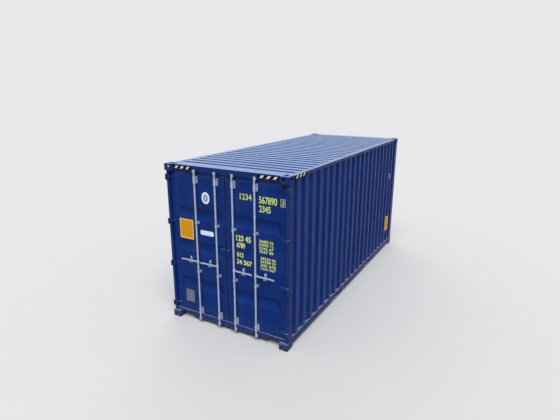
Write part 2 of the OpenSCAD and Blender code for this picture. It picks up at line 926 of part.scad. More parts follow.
module left_door_stiles() {
    color("navy") left_side() door_stiles();
}

module left_door_rails() {
    color("navy") left_side() door_rails();
}

module left_door_panel() {
    color("navy") left_side() door_panel([groove_low_z, groove_mid_z, groove_top_z]);
}

module left_door_seal() {
    color("black") left_side() door_seal(true);
}

module left_door_hinges() {
    color("midnightblue") left_side() door_hinges();
}

module left_door_brackets() {
    color("lightgray") left_side() door_brackets();
}

module left_door_catches() {
    color("lightgray") left_side() door_catches();
}

module left_door_lug() {
    color("navy") left_side() mid_lug(mid_lug_left);
}

// Cam: a collar with a tapered nose that turns between the keeper's lugs
module cam(z) {
    tip_r = cam_tip / 2;
    neck = cam_reach - tip_r;
    translate([0, 0, z]) cylinder(r = cam_r, h = cam_h);
    translate([0, 0, z + cam_h / 4]) linear_extrude(cam_h / 2) {
        polygon([[-cam_root / 2, 0], [-tip_r, -neck], [tip_r, -neck], [cam_root / 2, 0]]);
        translate([0, -neck]) circle(tip_r);
    }
}

// Tongue on the bar, with the pin on which the handle lifts
module handle_tongue() {
    translate([0, 0, handle_z - hub_h / 2]) cylinder(r = hub_r, h = hub_h);
    translate([0, 0, handle_z]) along_u(tongue_gap, tongue_gap + tongue_t) {
        translate([-pivot_reach, -eye_r]) square([pivot_reach, 2 * eye_r]);
        translate([-pivot_reach, 0]) circle(eye_r);
    }
    translate([0, -pivot_reach, handle_z])
        along_u(tongue_gap - handle_gap - handle_t - pivot_proud, tongue_gap + over) circle(pivot_r);
}

// Locking bar at distance v, with a cam at each end
module lock_bar(v) {
    door_corner() translate([bar_depth, v, 0]) {
        translate([0, 0, bar_low]) cylinder(r = bar_r, h = bar_top - bar_low);
        cam(bar_low);
        cam(bar_top - cam_h);
        handle_tongue();
    }
}

// Outline of a handle seen from above: flat bar, bend, and grip set outward
module handle_strip() {
    u1 = handle_back;
    u0 = u1 - handle_t;
    bend_v = handle_len - grip_len;
    grip_v = bend_v + grip_bend;
    miter = handle_t * tan(atan2(grip_out, grip_bend) / 2);
    polygon([
        [u0, -pivot_reach + eye_r], [u0, -bend_v], [u0 - grip_out, -grip_v],
        [u0 - grip_out, -handle_len], [u1 - grip_out, -handle_len],
        [u1 - grip_out, -grip_v - miter], [u1, -bend_v - miter], [u1, -pivot_reach + eye_r]
    ]);
}

// Outline of a handle seen from the front: eye, tapering bar and round grip end
module handle_face() {
    end_v = handle_len - grip_h / 2;
    difference() {
        union() {
            translate([-pivot_reach, 0]) circle(eye_r);
            polygon([
                [-pivot_reach, -handle_h / 2], [-pivot_reach, handle_h / 2],
                [-end_v, grip_h / 2], [-end_v, -grip_h / 2]
            ]);
            translate([-end_v, 0]) circle(grip_h / 2);
        }
        translate([-pivot_reach, 0]) circle(pivot_r + pin_clear);
    }
}

module handle(v) {
    door_corner() translate([0, v, handle_z]) intersection() {
        translate([0, 0, -eye_r]) linear_extrude(2 * eye_r) handle_strip();
        along_u(0, leaf_front) handle_face();
    }
}

module right_outer_bar() {
    color("lightgray") lock_bar(bar_vs[0]);
}

module right_inner_bar() {
    color("lightgray") lock_bar(bar_vs[1]);
}

module left_inner_bar() {
    color("lightgray") left_side() lock_bar(bar_vs[1]);
}

module left_outer_bar() {
    color("lightgray") left_side() lock_bar(bar_vs[0]);
}

module right_outer_handle() {
    color("silver") handle(bar_vs[0]);
}

module right_inner_handle() {
    color("silver") handle(bar_vs[1]);
}

module left_inner_handle() {
    color("silver") left_side() handle(bar_vs[1]);
}

module left_outer_handle() {
    color("silver") left_side() handle(bar_vs[0]);
}

bottom_castings();
top_castings();
right_door_post();
left_door_post();
front_posts();
bottom_side_rails();
top_side_rails();
door_header();
door_sill();
front_top_rail();
front_sill();
right_side_wall();
left_side_wall();
front_wall();
roof_sheet();
roof_end_plates();
floor();
cross_members();
forklift_pockets();
cam_keepers();
hinge_lugs();
right_door_stiles();
right_door_rails();
right_door_panel();
right_door_seal();
right_door_hinges();
right_door_brackets();
right_door_catches();
right_door_lug();
left_door_stiles();
left_door_rails();
left_door_panel();
left_door_seal();
left_door_hinges();
left_door_brackets();
left_door_catches();
left_door_lug();
right_outer_bar();
right_inner_bar();
left_inner_bar();
left_outer_bar();
right_outer_handle();
right_inner_handle();
left_inner_handle();
left_outer_handle();
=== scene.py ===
"""Looks of the freight container: paint, galvanised gear, marks, bolts, welds and rubber.

Everything is in metres. X runs along the container with the cargo doors at -X, Y across it, Z up.
"""

import json
import math

import bmesh
import bpy
from mathutils import Matrix, Vector


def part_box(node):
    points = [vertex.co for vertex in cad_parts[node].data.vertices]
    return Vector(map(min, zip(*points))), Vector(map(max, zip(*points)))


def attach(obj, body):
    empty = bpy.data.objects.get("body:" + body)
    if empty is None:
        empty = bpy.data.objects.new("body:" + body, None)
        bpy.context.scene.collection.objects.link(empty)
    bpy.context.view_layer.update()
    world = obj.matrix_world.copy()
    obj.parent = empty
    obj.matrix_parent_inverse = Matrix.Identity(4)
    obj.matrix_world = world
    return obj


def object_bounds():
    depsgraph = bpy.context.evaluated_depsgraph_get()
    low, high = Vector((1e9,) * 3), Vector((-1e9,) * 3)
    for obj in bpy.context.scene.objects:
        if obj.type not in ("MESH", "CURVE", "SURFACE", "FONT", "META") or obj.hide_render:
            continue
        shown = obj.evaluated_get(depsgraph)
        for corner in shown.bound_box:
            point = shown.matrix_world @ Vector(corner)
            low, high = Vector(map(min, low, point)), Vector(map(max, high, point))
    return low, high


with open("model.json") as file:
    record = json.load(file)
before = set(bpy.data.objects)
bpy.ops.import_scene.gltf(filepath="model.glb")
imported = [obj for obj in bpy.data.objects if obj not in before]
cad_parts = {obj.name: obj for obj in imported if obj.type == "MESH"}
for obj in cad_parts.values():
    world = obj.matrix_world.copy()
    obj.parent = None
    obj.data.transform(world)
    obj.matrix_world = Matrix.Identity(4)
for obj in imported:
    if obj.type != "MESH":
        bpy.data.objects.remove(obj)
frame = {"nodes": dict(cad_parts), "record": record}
cad_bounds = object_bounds()

# Sizes and places, taken from the frame where it has them
DOOR_END = cad_bounds[0].x
DOOR_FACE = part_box("right_door_stiles")[0].x
HEADER_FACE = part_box("door_header")[0].x
POST_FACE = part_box("right_door_post")[0].x
POST_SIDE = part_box("left_door_post")[1].y
RAIL_LOW, RAIL_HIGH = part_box("top_side_rails")
FLOOR_LOW, FLOOR_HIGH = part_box("floor")
HALF_INSIDE = -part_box("right_side_wall")[1].y
JOINTS = {row["name"]: Vector(row["pos_m"]) for row in frame["record"]["behaviour"]["joints"]}
RIGHT, LEFT = -1, 1

# Points closer than this are one point
SAME_POINT = 1e-5

# A printed film's distance from its surface and its thickness, then the places of films laid on it
STAND_OFF = 0.0006
FILM = 0.0004
LAYER_GAP = 0.0001
SECOND_LAYER = STAND_OFF + FILM + LAYER_GAP
THIRD_LAYER = SECOND_LAYER + FILM + LAYER_GAP


def side_name(side):
    return "right" if side == RIGHT else "left"


def middle(low, high):
    return (low + high) / 2


def solids(node):
    """Lowest and highest corners of the separate solids of a CAD node, in metres."""
    mesh = bmesh.new()
    mesh.from_mesh(frame["nodes"][node].data)
    mesh.transform(frame["nodes"][node].matrix_world)
    bmesh.ops.remove_doubles(mesh, verts=mesh.verts, dist=SAME_POINT)
    left = set(mesh.verts)
    found = []
    while left:
        stack = [left.pop()]
        group = []
        while stack:
            vert = stack.pop()
            group.append(vert.co.copy())
            for edge in vert.link_edges:
                other = edge.other_vert(vert)
                if other in left:
                    left.remove(other)
                    stack.append(other)
        low = Vector([min(p[i] for p in group) for i in range(3)])
        high = Vector([max(p[i] for p in group) for i in range(3)])
        found.append((low, high))
    mesh.free()
    return sorted(found, key=lambda pair: (round(pair[0].z, 3), pair[0].y, pair[0].x))


def outer_line(node, axis):
    """Points of a ribbed wall's outer surface at its foot, in order along the wall.

    The axis is the one that the wall faces: 0 for X, 1 for Y.
    """
    data = frame["nodes"][node]
    points = [data.matrix_world @ v.co for v in data.data.vertices]
    foot = min(p.z for p in points)
    along = 1 - axis
    rows = {}
    for p in points:
        if p.z < foot + 10 * SAME_POINT:
            rows.setdefault(round(p[along], 4), []).append(p)
    return [max(rows[key], key=lambda p: abs(p[axis])) for key in sorted(rows)]


# Materials

# Sockets of a mix node: its factor, then the inputs and the output for colours and for numbers
MIX_FACTOR = 0
MIX_COLOURS = (6, 7)
MIX_COLOUR_OUT = 2
MIX_NUMBERS = (2, 3)
MIX_NUMBER_OUT = 0


class Nodes:
    """A material's node tree, with short calls for the nodes that the finishes use."""

    def __init__(self, name):
        self.material = bpy.data.materials.new(name)
        self.material.use_nodes = True
        self.tree = self.material.node_tree
        self.shader = self.tree.nodes["Principled BSDF"]
        self.coords = self.tree.nodes.new("ShaderNodeTexCoord").outputs["Object"]

    def node(self, kind, **values):
        made = self.tree.nodes.new(kind)
        for key, value in values.items():
            setattr(made, key, value)
        return made

    def feed(self, socket, value):
        """Sets a socket to a number or a colour, or links it to another socket."""
        if isinstance(value, (int, float)):
            socket.default_value = value
        elif isinstance(value, (tuple, list)):
            socket.default_value = (*value, 1)
        else:
            self.tree.links.new(value, socket)

    def scaled(self, scale):
        mapping = self.node("ShaderNodeMapping")
        mapping.inputs["Scale"].default_value = scale
        self.feed(mapping.inputs["Vector"], self.coords)
        return mapping.outputs["Vector"]

    def noise(self, scale, detail=3.0, rough=0.55, stretch=(1, 1, 1)):
        made = self.node("ShaderNodeTexNoise")
        made.inputs["Scale"].default_value = scale
        made.inputs["Detail"].default_value = detail
        made.inputs["Roughness"].default_value = rough
        self.feed(made.inputs["Vector"], self.scaled(stretch))
        return made.outputs["Fac"]

    def spangle(self, scale):
        made = self.node("ShaderNodeTexVoronoi")
        made.inputs["Scale"].default_value = scale
        self.feed(made.inputs["Vector"], self.coords)
        split = self.node("ShaderNodeSeparateColor")
        self.feed(split.inputs["Color"], made.outputs["Color"])
        return split.outputs[0]

    def ramp(self, value, low, high, to=(0.0, 1.0)):
        made = self.node("ShaderNodeMapRange")
        made.inputs["From Min"].default_value = low
        made.inputs["From Max"].default_value = high
        made.inputs["To Min"].default_value = to[0]
        made.inputs["To Max"].default_value = to[1]
        self.feed(made.inputs["Value"], value)
        return made.outputs["Result"]

    def math(self, kind, a, b):
        made = self.node("ShaderNodeMath", operation=kind)
        self.feed(made.inputs[0], a)
        self.feed(made.inputs[1], b)
        return made.outputs["Value"]

    def times(self, a, b):
        return self.math("MULTIPLY", a, b)

    def mix(self, factor, a, b):
        """Colour a where the factor is 0 and colour b where it is 1."""
        made = self.node("ShaderNodeMix", data_type="RGBA")
        for socket, value in zip((MIX_FACTOR, *MIX_COLOURS), (factor, a, b)):
            self.feed(made.inputs[socket], value)
        return made.outputs[MIX_COLOUR_OUT]

    def patches(self, low, high, **noise):
        """Noise as patches with soft edges: 0 where it is under low and 1 where it is over high."""
        return self.ramp(self.noise(**noise), low, high)

    def layer(self, base, colour, amount, *masks):
        """A colour laid over the base, as much as the amount says, where every mask is 1."""
        for mask in masks:
            amount = self.times(mask, amount)
        return self.mix(amount, base, colour)

    def upright(self, vector):
        """The Z part of a vector."""
        split = self.node("ShaderNodeSeparateXYZ")
        self.feed(split.inputs["Vector"], vector)
        return split.outputs["Z"]

    def facing_up(self):
        """1 on faces that lie nearly level and face up, 0 on slopes and upright faces."""
        sloping, level = 0.8, 0.97
        normal = self.node("ShaderNodeNewGeometry").outputs["Normal"]
        return self.ramp(self.upright(normal), sloping, level)

    def lit_flats_mask(self):
        """1 on faces square to X or Y, 0 on the slopes of the walls' ribs; paint uses it to put in
        painted light and shade.
        """
        sloping, square = 0.91, 0.99
        size = self.node("ShaderNodeVectorMath", operation="ABSOLUTE")
        self.feed(size.inputs[0], self.node("ShaderNodeNewGeometry").outputs["Normal"])
        split = self.node("ShaderNodeSeparateXYZ")
        self.feed(split.inputs["Vector"], size.outputs["Vector"])
        return self.ramp(self.math("MAXIMUM", split.outputs["X"], split.outputs["Y"]), sloping, square)

    def bump(self, value, strength, distance, normal=None):
        made = self.node("ShaderNodeBump")
        made.inputs["Strength"].default_value = strength
        made.inputs["Distance"].default_value = distance
        self.feed(made.inputs["Height"], value)
        if normal:
            self.feed(made.inputs["Normal"], normal)
        return made.outputs["Normal"]

    def soft_edges(self, radius):
        made = self.node("ShaderNodeBevel", samples=4)
        made.inputs["Radius"].default_value = radius
        return made.outputs["Normal"]

    def finish(self, colour, roughness, normal, metallic=0.0, specular=0.5):
        self.feed(self.shader.inputs["Base Color"], colour)
        self.feed(self.shader.inputs["Roughness"], roughness)
        self.feed(self.shader.inputs["Normal"], normal)
        self.feed(self.shader.inputs["Metallic"], metallic)
        self.feed(self.shader.inputs["Specular IOR Level"], specular)
        return self.material


def shade(colour, factor):
    """A colour made darker or lighter by a factor."""
    return tuple(min(1.0, c * factor) for c in colour)


# Colours of old paint and of what lies on it; the first two are paint made paler on faces that look up,
# partly by weather and partly as painted light, the sky's reflection painted in
BLEACHED_AND_SKY_LIT_PAINT = (0.064, 0.138, 0.312)
CHALKED_AND_HIGHLIT_PAINT = (0.200, 0.260, 0.460)
DRIED_PUDDLE = (0.10, 0.17, 0.32)
RAIN_STREAK = (0.16, 0.21, 0.31)
DUST = (0.20, 0.22, 0.27)
DRIED_MUD = (0.13, 0.115, 0.10)
BARE_PRIMER = (0.115, 0.055, 0.03)

# Heights over the ground at which splashed mud ends and is thickest
SPLASH_END = 0.42
SPLASH_FULL = 0.05

# Colours of zinc, rubber, plywood and the bare metal plate
ZINC = ((0.225, 0.26, 0.365), (0.335, 0.38, 0.53))
ZINC_BLOOM = (0.40, 0.44, 0.58)
ZINC_RUST = (0.20, 0.105, 0.06)
RUBBER = ((0.010, 0.010, 0.012), (0.032, 0.032, 0.035))
PLYWOOD = ((0.20, 0.105, 0.052), (0.36, 0.215, 0.115))
PLYWOOD_DEEP = (0.16, 0.085, 0.045)
TYRE_SCUFF = (0.09, 0.07, 0.055)
PLATE = ((0.075, 0.09, 0.135), (0.13, 0.155, 0.22))
PLATE_STAIN = (0.07, 0.08, 0.10)


def paint(
    name, colour, rough=0.36, dust=0.06, wear=0.25, dents=0.2, mud=0.35,
    lit_weathered_flats=None, bleached_and_sky_lit=BLEACHED_AND_SKY_LIT_PAINT,
):
    """Sprayed paint: slow changes of tone, rain streaks, dust, chips to primer and rust, shallow dents.

    Where it faces the sky the sun's bleach makes it paler, with the sky's reflection painted in as more
    paleness; it is also worn to a smooth gloss and stained by dried puddles. The flat faces between a
    wall's ribs have a lighter colour of their own, partly because they weather more than the slopes and
    partly as painted light, with the slopes left darker as painted shade.
    """
    bleach_and_sky_light, fading, staining, hazing, scuffing = 0.9, 0.5, 0.35, 0.6, 0.5
    faded, scuffed = shade(colour, 1.4), shade(colour, 2.4)
    n = Nodes(name)
    level = n.facing_up()
    # Painted light and shade: flat faces between ribs are lighter as if lit and rib slopes darker,
    # partly weathering
    base = n.mix(n.lit_flats_mask(), colour, lit_weathered_flats) if lit_weathered_flats else colour
    # Painted reflection: faces that look up are made paler as if they mirrored the sky, partly real
    # bleach
    base = n.layer(base, bleached_and_sky_lit, bleach_and_sky_light, level)
    tone = n.patches(0.3, 0.7, scale=0.9, detail=5)
    base = n.layer(base, faded, fading, tone)
    puddles = n.patches(0.46, 0.62, scale=1.3, detail=6, rough=0.6, stretch=(1, 0.6, 1))
    base = n.layer(base, DRIED_PUDDLE, staining, puddles, level)
    streaks = n.patches(0.5, 0.78, scale=9, detail=4, rough=0.6, stretch=(1, 1, 0.06))
    base = n.layer(base, RAIN_STREAK, dust, streaks)
    haze = n.patches(0.48, 0.85, scale=3.5, detail=6, rough=0.65)
    base = n.layer(base, DUST, dust * hazing, haze)
    splash = n.ramp(n.upright(n.coords), SPLASH_END, SPLASH_FULL)
    spots = n.patches(0.44, 0.64, scale=22, detail=5, rough=0.7)
    grime = n.times(n.times(splash, spots), mud)
    base = n.layer(base, DRIED_MUD, grime)
    worn = n.patches(0.58, 0.72, scale=2.3)
    flecks = n.patches(0.66, 0.69, scale=75, rough=0.5)
    base = n.layer(base, BARE_PRIMER, wear, worn, flecks)
    rubbed = n.patches(0.6, 0.7, scale=5.0, detail=2, rough=0.5)
    scratches = n.patches(0.64, 0.72, scale=130, detail=2, rough=0.5, stretch=(0.25, 0.25, 2.2))
    base = n.layer(base, scuffed, wear * scuffing, rubbed, scratches)
    smoothest, roughest, mud_rough, polish = rough - 0.06, rough + 0.09, 0.3, 0.16
    roughness = n.ramp(n.noise(6, detail=4), 0.3, 0.7, to=(smoothest, roughest))
    roughness = n.math("ADD", roughness, n.times(grime, mud_rough))
    roughness = n.math("SUBTRACT", roughness, n.times(level, polish))
    upright_gloss, level_gloss = 0.055, 0.9
    gloss = n.ramp(level, 0, 1, to=(upright_gloss, level_gloss))
    normal = n.soft_edges(0.003)
    normal = n.bump(n.noise(2.2, detail=2), strength=dents, distance=0.012, normal=normal)
    normal = n.bump(n.noise(420, detail=2), strength=0.04, distance=0.0006, normal=normal)
    return n.finish(base, roughness, normal, specular=gloss)


def galvanised(name):
    """Hot-dip zinc: pale spangle, dull white bloom, brown runs where it wore through."""
    blooming, rusting = 0.6, 0.6
    n = Nodes(name)
    base = n.mix(n.spangle(95), *ZINC)
    bloom = n.patches(0.45, 0.7, scale=14, detail=5, rough=0.6)
    base = n.layer(base, ZINC_BLOOM, blooming, bloom)
    worn = n.patches(0.58, 0.72, scale=5, detail=4, rough=0.6)
    flecks = n.patches(0.54, 0.66, scale=60, detail=4, rough=0.6)
    base = n.layer(base, ZINC_RUST, rusting, worn, flecks)
    roughness = n.ramp(n.noise(30), 0.3, 0.7, to=(0.42, 0.6))
    normal = n.bump(n.noise(160), strength=0.12, distance=0.0008, normal=n.soft_edges(0.002))
    return n.finish(base, roughness, normal, metallic=0.3)


def rubber(name):
    """Black rubber with greyer, dusty patches."""
    n = Nodes(name)
    base = n.mix(n.patches(0.4, 0.7, scale=18, detail=4), *RUBBER)
    normal = n.bump(n.noise(300, detail=2), strength=0.1, distance=0.0005, normal=n.soft_edges(0.0015))
    return n.finish(base, roughness=0.62, normal=normal, specular=0.3)


def plywood(name):
    """Floor sheets: long grain, slow changes of tone, tyre scuffs."""
    deepening, scuffing = 0.35, 0.5
    n = Nodes(name)
    grain = n.noise(26, detail=6, rough=0.65, stretch=(0.05, 1, 1))
    base = n.mix(n.ramp(grain, 0.3, 0.7), *PLYWOOD)
    tone = n.patches(0.35, 0.65, scale=0.8)
    base = n.layer(base, PLYWOOD_DEEP, deepening, tone)
    scuffs = n.patches(0.5, 0.75, scale=4, detail=5, rough=0.7, stretch=(0.3, 1.5, 1))
    base = n.layer(base, TYRE_SCUFF, scuffing, scuffs)
    roughness = n.ramp(grain, 0.3, 0.7, to=(0.42, 0.62))
    return n.finish(base, roughness, n.bump(grain, strength=0.15, distance=0.001))


def vinyl(name, colour, fade=0.25, rough=0.45, gloss=0.12):
    """Film on paint: a little faded, dusty and scratched."""
    fresh, faded, scratched = shade(colour, 1.05), shade(colour, 0.72), shade(colour, 0.3)
    n = Nodes(name)
    worn = n.patches(0.4, 0.72, scale=16, detail=5, rough=0.65)
    base = n.layer(fresh, faded, fade, worn)
    specks = n.patches(0.66, 0.7, scale=150, detail=2)
    base = n.layer(base, scratched, fade, specks)
    normal = n.bump(n.noise(60, detail=2), strength=0.05, distance=0.0005)
    return n.finish(base, rough, normal, specular=gloss)


def bare_plate(name):
    """Metal brushed up and down, with dull stains."""
    staining = 0.5
    n = Nodes(name)
    brushed = n.noise(220, rough=0.5, stretch=(1, 1, 0.05))
    base = n.mix(n.ramp(brushed, 0.3, 0.7), *PLATE)
    stain = n.patches(0.45, 0.7, scale=24, detail=5, rough=0.6)
    base = n.layer(base, PLATE_STAIN, staining, stain)
    normal = n.bump(brushed, strength=0.08, distance=0.0003)
    return n.finish(base, roughness=0.5, normal=normal, metallic=0.4)


MATERIALS = {
    # Its faces that look up are chalky and paler still, partly a painted highlight along the rails' tops
    "frame_paint": paint("frame_paint", (0.0036, 0.0170, 0.098), bleached_and_sky_lit=CHALKED_AND_HIGHLIT_PAINT),
    "casting_paint": paint("casting_paint", (0.0045, 0.0160, 0.085), rough=0.44, wear=0.7, mud=0.5),
    # Its flat faces between the ribs are lighter than the slopes: painted light and shade, partly
    # weathering
    "wall_paint": paint("wall_paint", (0.0024, 0.0125, 0.078), dents=0.3, lit_weathered_flats=(0.0048, 0.0290, 0.168)),
    "roof_paint": paint("roof_paint", (0.0160, 0.0480, 0.155), wear=0.15),
    "door_paint": paint("door_paint", (0.0020, 0.0165, 0.104), dust=0.05, wear=0.2, mud=0.2),
    "underframe_paint": paint("underframe_paint", (0.022, 0.022, 0.024), rough=0.6, mud=0.8),
    "galvanised": galvanised("galvanised"),
    "seal_rubber": rubber("seal_rubber"),
    "plywood": plywood("plywood"),
    "mark_yellow": vinyl("mark_yellow", (0.43, 0.51, 0.12)),
    "stripe_cream": vinyl("stripe_cream", (0.53, 0.44, 0.29)),
    "stripe_black": vinyl("stripe_black", (0.004, 0.004, 0.005), fade=0.1, gloss=0.0),
    "sticker_white": vinyl("sticker_white", (0.48, 0.53, 0.67), fade=0.15),
    "sticker_grey": vinyl("sticker_grey", (0.13, 0.17, 0.27), fade=0.15),
    "sticker_amber": vinyl("sticker_amber", (0.42, 0.195, 0.004), fade=0.2),
    "sticker_pale": vinyl("sticker_pale", (0.62, 0.37, 0.05), fade=0.2),
    "data_plate": bare_plate("data_plate"),
}


def dress_nodes():
    """Gives each CAD node the material that the record names for it."""
    for row in frame["record"]["subparts"]:
        node = frame["nodes"][row["node"]]
        node.data.materials.clear()
        node.data.materials.append(MATERIALS[row["material_slot"]])


# Mesh building

# Edges sharper than this, in degrees, stay sharp in the shading
SHARP_EDGE = 35

# A rivet's dome as shares of its radius: (radius, height) points
RIVET_SHAPE = ((0, 0), (1, 0), (1, 0.2), (0.8, 0.5), (0.4, 0.68), (0, 0.72))


class Piece:
    """Gathers many small forms into one mesh that rides on a body."""

    def __init__(self, name, body, materials, slot):
        self.name = name
        self.body = body
        self.materials = materials
        self.slot = slot
        self.mesh = bmesh.new()

    def absorb(self, part, material):
        """Takes in a part's faces, all of one material, and frees the part."""
        for face in part.faces:
            face.material_index = material
        copy = bpy.data.meshes.new("part")
        part.to_mesh(copy)
        part.free()
        self.mesh.from_mesh(copy)
        bpy.data.meshes.remove(copy)

    def block(self, low, high, bevel=0.0, material=0):
        part = bmesh.new()
        bmesh.ops.create_cube(part, size=1.0)
        bmesh.ops.scale(part, vec=Vector(high) - Vector(low), verts=part.verts)
        bmesh.ops.translate(part, vec=(Vector(low) + Vector(high)) / 2, verts=part.verts)
        if bevel:
            bmesh.ops.bevel(part, geom=part.edges[:], offset=bevel, segments=2, affect="EDGES")
        self.absorb(part, material)

    def prism(self, outline, matrix, depth, bevel=0.0, material=0):
        """A flat outline in the matrix's X and Y, given a depth along its Z."""
        part = bmesh.new()
        face = part.faces.new([part.verts.new((x, y, 0)) for x, y in outline])
        out = bmesh.ops.extrude_face_region(part, geom=[face])
        moved = [v for v in out["geom"] if isinstance(v, bmesh.types.BMVert)]
        bmesh.ops.translate(part, vec=(0, 0, depth), verts=moved)
        if bevel:
            top = [e for e in part.edges if all(v in moved for v in e.verts)]
            bmesh.ops.bevel(part, geom=top, offset=bevel, segments=2, affect="EDGES")
        bmesh.ops.recalc_face_normals(part, faces=part.faces[:])
        bmesh.ops.transform(part, matrix=matrix, verts=part.verts)
        self.absorb(part, material)

    def rod(self, start, end, radius, sides=16, bevel=0.0, material=0):
        axis = Vector(end) - Vector(start)
        turn = axis.to_track_quat("Z", "Y").to_matrix().to_4x4()
        angles = [2 * math.pi * i / sides for i in range(sides)]
        ring = [(radius * math.cos(a), radius * math.sin(a)) for a in angles]
        self.prism(ring, Matrix.Translation(start) @ turn, axis.length, bevel, material)

    def turned(self, profile, start, direction, sides=24, material=0):
        """A closed profile of (radius, height) points, turned about an axis from start."""
        turn = Vector(direction).to_track_quat("Z", "Y").to_matrix().to_4x4()
        part = bmesh.new()
        rings = []
        for i in range(sides):
            a = 2 * math.pi * i / sides
            rings.append([part.verts.new((r * math.cos(a), r * math.sin(a), h)) for r, h in profile])
        count = len(profile)
        for i in range(sides):
            one, two = rings[i], rings[(i + 1) % sides]
            for k in range(count):
                m = (k + 1) % count
                part.faces.new((one[k], two[k], two[m], one[m]))
        bmesh.ops.remove_doubles(part, verts=part.verts, dist=SAME_POINT)
        bmesh.ops.recalc_face_normals(part, faces=part.faces[:])
        bmesh.ops.transform(part, matrix=Matrix.Translation(start) @ turn, verts=part.verts)
        self.absorb(part, material)

    def bolt(self, place, normal, radius=0.0085, height=0.006, material=0):
        """A washer, a hexagon head and the end of its thread."""
        washer_thick, washer_spread = 0.002, 1.35
        thread_reach, thread_share = 0.003, 0.5
        out = Vector(normal)
        place = Vector(place)
        washer = place + out * washer_thick
        head = washer + out * height
        end = head + out * thread_reach
        self.rod(place, washer, radius * washer_spread, sides=20, bevel=0.0004, material=material)
        self.rod(washer, head, radius, sides=6, bevel=0.0012, material=material)
        self.rod(head, end, radius * thread_share, sides=12, bevel=0.0008, material=material)

    def rivet(self, place, normal, radius=0.005, material=0):
        dome = [(radius * r, radius * h) for r, h in RIVET_SHAPE]
        self.turned(dome, place, normal, sides=16, material=material)

    def bead(self, path, radius, ripple=0.009, sides=6, material=0):
        """A weld: a low tube along a path whose radius swells at each ripple."""
        valley = 0.8
        points = [Vector(path[0])]
        for a, b in zip(path, path[1:]):
            a, b = Vector(a), Vector(b)
            steps = max(1, round((b - a).length / ripple))
            points += [a.lerp(b, (i + 1) / steps) for i in range(steps)]
        part = bmesh.new()
        rings = []
        for i, p in enumerate(points):
            before, after = points[max(i - 1, 0)], points[min(i + 1, len(points) - 1)]
            turn = (after - before).to_track_quat("Z", "Y").to_matrix()
            r = radius * (1.0 if i % 2 else valley)
            rings.append([
                part.verts.new(p + turn @ Vector((r * math.cos(a), r * math.sin(a), 0)))
                for a in (2 * math.pi * k / sides for k in range(sides))
            ])
        for one, two in zip(rings, rings[1:]):
            for k in range(sides):
                m = (k + 1) % sides
                part.faces.new((one[k], one[m], two[m], two[k]))
        part.faces.new(rings[0][::-1])
        part.faces.new(rings[-1])
        self.absorb(part, material)

    def done(self):
        """Makes the object from what was gathered, and lets it ride on its body."""
        data = bpy.data.meshes.new(self.name)
        self.mesh.to_mesh(data)
        self.mesh.free()
        for name in self.materials:
            data.materials.append(MATERIALS[name])
        data.polygons.foreach_set("use_smooth", [True] * len(data.polygons))
        data.set_sharp_from_angle(angle=math.radians(SHARP_EDGE))
        made = bpy.data.objects.new(self.name, data)
        bpy.context.scene.collection.objects.link(made)
        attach(made, self.body)


OUTWARD = (-1, 0, 0)

# A flat mark's X is the reader's right, its Y is up, and its Z is out of the surface
FACING_DOORS = Matrix(((0, 0, -1, 0), (-1, 0, 0, 0), (0, 1, 0, 0), (0, 0, 0, 1)))
FACING_RIGHT_SIDE = Matrix(((1, 0, 0, 0), (0, 0, -1, 0), (0, 1, 0, 0), (0, 0, 0, 1)))


def on_doors(right, height, x=DOOR_FACE, off=STAND_OFF):
    """Place of a mark on the doors, from the middle of the doors to the reader's right."""
    return Matrix.Translation((x - off, -right, height)) @ FACING_DOORS


def on_right_side(x, height, y, off=STAND_OFF):
    """Place of a mark on the right side, whose surface there is at y."""
    return Matrix.Translation((x, y - off, height)) @ FACING_RIGHT_SIDE


def rounded(width, height, radius, steps=6):
    """Outline of a rectangle with round corners, about its middle."""
    points = []
    for cx, cy, start in ((1, 1, 0), (-1, 1, 90), (-1, -1, 180), (1, -1, 270)):
        for i in range(steps + 1):
            a = math.radians(start + 90 * i / steps)
            points.append((
                cx * (width / 2 - radius) + radius * math.cos(a),
                cy * (height / 2 - radius) + radius * math.sin(a),
            ))
    return points


def oval(width, height, points=36):
    """Outline of an oval about its middle."""
    angles = [2 * math.pi * i / points for i in range(points)]
    return [(width / 2 * math.cos(a), height / 2 * math.sin(a)) for a in angles]


def digits(piece, text, left, right, low, high, weight):
    """Plain digits that fill a box on the doors, given by the reader's left, right, low and high."""
    curve = bpy.data.curves.new("digits", "FONT")
    curve.body = text
    curve.offset = weight
    curve.extrude = 0.0
    curve.resolution_u = 4
    holder = bpy.data.objects.new("digits", curve)
    flat = holder.to_mesh()
    xs = [v.co.x for v in flat.vertices]
    ys = [v.co.y for v in flat.vertices]
    part = bmesh.new()
    part.from_mesh(flat)
    bmesh.ops.remove_doubles(part, verts=part.verts, dist=SAME_POINT)
    wide, tall = max(xs) - min(xs), max(ys) - min(ys)
    fit = Matrix.Diagonal(((right - left) / wide, (high - low) / tall, 1, 1))
    shift = Matrix.Translation((-min(xs), -min(ys), 0))
    bmesh.ops.transform(part, matrix=on_doors(left, low) @ fit @ shift, verts=part.verts)
    bmesh.ops.recalc_face_normals(part, faces=part.faces[:])
    out = bmesh.ops.extrude_face_region(part, geom=part.faces[:])
    moved = [v for v in out["geom"] if isinstance(v, bmesh.types.BMVert)]
    bmesh.ops.translate(part, vec=(-FILM, 0, 0), verts=moved)
    bmesh.ops.recalc_face_normals(part, faces=part.faces[:])
    piece.absorb(part, 0)
    holder.to_mesh_clear()
    bpy.data.objects.remove(holder)
    bpy.data.curves.remove(curve)


